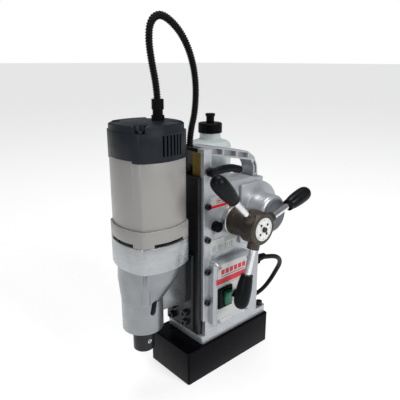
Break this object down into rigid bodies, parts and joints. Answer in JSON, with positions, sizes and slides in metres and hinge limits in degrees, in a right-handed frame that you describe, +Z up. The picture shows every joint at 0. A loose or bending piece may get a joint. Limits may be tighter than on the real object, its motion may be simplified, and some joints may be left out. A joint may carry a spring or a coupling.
{
  "type": "magnetic drill press",
  "caption": "Portable drill on an electromagnet base: vertical motor unit on a dovetail slide, capstan feed with grips, switch panel, carry handle and coolant bottle.",
  "frame": {"origin": "centre of the magnet's lower face", "axes": "+Z up and along the slide; +X along the magnet away from the drilling unit; -Y the operator's side with the panel and capstan"},
  "size_m": [0.3141, 0.2553, 0.4845],
  "materials": {
    "black_paint": "satin black paint",
    "black_plastic": "fine grained",
    "black_steel": "black oxide",
    "board": "circuit board",
    "bottle": "milky",
    "brass": "oiled brass",
    "bright_steel": "machined",
    "bronze_steel": "dark oiled casting",
    "chrome": "polished",
    "copper": "turned copper",
    "copper_winding": "enamelled winding",
    "cord_rubber": "rubber",
    "green_plastic": "translucent green",
    "grey_cap": "moulded",
    "grip_plastic": "soft gloss",
    "label": "printed plate",
    "lamination": "laminated",
    "motor_grey": "warm grey paint",
    "potting": "cast resin",
    "silver_cast": "silver painted casting"
  },
  "bodies": {
    "stand": {"magnet_base": "black_paint", "magnet_coil": "copper_winding", "magnet_potting": "potting", "stand_casting": "silver_cast", "flange_bolts": "black_steel", "top_plate": "silver_cast", "carry_handle": "silver_cast", "gib_strips": "brass", "gib_screws": "black_steel", "capstan_bushes": "brass", "hub_boss": "bright_steel", "switch_panel": "silver_cast", "panel_label": "label", "side_labels": "label", "switch_bezel": "black_plastic", "panel_screws": "bright_steel", "feed_housing": "silver_cast", "feed_cap": "grey_cap", "feed_motor": "bright_steel", "circuit_board": "board", "bottle_body": "bottle", "bottle_bracket": "black_steel", "conduit": "cord_rubber", "cord_gland": "black_plastic", "power_cord": "cord_rubber", "cord_coil": "cord_rubber", "power_plug": "cord_rubber"},
    "drilling_unit": {"slide_block": "black_steel", "feed_rack": "bright_steel", "mount_plate": "black_steel", "mount_bolts": "black_steel", "gear_case": "silver_cast", "gear_cover": "silver_cast", "baffle_ring": "motor_grey", "motor_tube": "motor_grey", "motor_cap": "grey_cap", "cap_screws": "black_steel", "motor_gland": "black_plastic", "stator": "lamination", "brush_holders": "brass", "ball_bearings": "bright_steel"},
    "armature": {"armature_shaft": "bright_steel", "armature_core": "lamination", "commutator": "copper", "cooling_fan": "black_plastic"},
    "idler": {"idler_gears": "bright_steel"},
    "spindle": {"spindle_wheel": "bright_steel", "arbor": "black_steel", "arbor_screws": "bright_steel"},
    "capstan": {"capstan_hub": "bronze_steel", "capstan_spokes": "chrome", "spoke_grips": "grip_plastic", "dial_disc": "bright_steel", "pinion_shaft": "bright_steel"},
    "lever": {"lock_lever": "grip_plastic"},
    "rocker": {"rocker_switch": "green_plastic"},
    "speed_control": {"speed_knob": "black_plastic"},
    "feed_lock": {"feed_lock_knob": "black_plastic"},
    "cap": {"bottle_cap": "black_plastic"},
    "spout": {"bottle_spout": "black_plastic"}
  },
  "joints": [
    {"name": "carriage_slide", "type": "slide", "parent": "stand", "child": "drilling_unit", "axis": [0, 0, 1], "range_m": [0, 0.115], "deforming": ["conduit"]},
    {"name": "capstan_turn", "type": "hinge", "parent": "stand", "child": "capstan", "pos_m": [0, 0, 0.225], "axis": [0, 1, 0], "range_deg": [0, 550]},
    {"name": "armature_spin", "type": "hinge", "parent": "drilling_unit", "child": "armature", "pos_m": [-0.11, 0, 0.275], "axis": [0, 0, 1], "continuous": true},
    {"name": "idler_spin", "type": "hinge", "parent": "drilling_unit", "child": "idler", "pos_m": [-0.10744, 0.01787, 0.186], "axis": [0, 0, 1], "continuous": true},
    {"name": "spindle_spin", "type": "hinge", "parent": "drilling_unit", "child": "spindle", "pos_m": [-0.125, 0, 0.1], "axis": [0, 0, 1], "continuous": true},
    {"name": "lock_lever_swing", "type": "hinge", "parent": "stand", "child": "lever", "pos_m": [-0.045, -0.046, 0.298], "axis": [0, -1, 0], "range_deg": [0, 60]},
    {"name": "feed_lock_turn", "type": "hinge", "parent": "stand", "child": "feed_lock", "pos_m": [-0.0316, -0.042, 0.222], "axis": [0, -1, 0], "range_deg": [0, 180]},
    {"name": "speed_knob_turn", "type": "hinge", "parent": "stand", "child": "speed_control", "pos_m": [-0.0033, -0.055, 0.118], "axis": [0, -1, 0], "range_deg": [0, 270]},
    {"name": "rocker_tip", "type": "hinge", "parent": "stand", "child": "rocker", "pos_m": [-0.0206, -0.05, 0.1205], "axis": [-1, 0, 0], "range_deg": [0, 18]},
    {"name": "cap_lift", "type": "slide", "parent": "stand", "child": "cap", "axis": [0, 0, 1], "range_m": [0, 0.03]},
    {"name": "spout_pull", "type": "slide", "parent": "cap", "child": "spout", "axis": [0, 0, 1], "range_m": [0, 0.005]}
  ],
  "couplings": [
    {"joint": "capstan_turn", "follows": "carriage_slide", "rad_per_m": 83.333},
    {"joint": "idler_spin", "follows": "armature_spin", "ratio": -0.38462},
    {"joint": "spindle_spin", "follows": "armature_spin", "ratio": 0.16484}
  ]
}
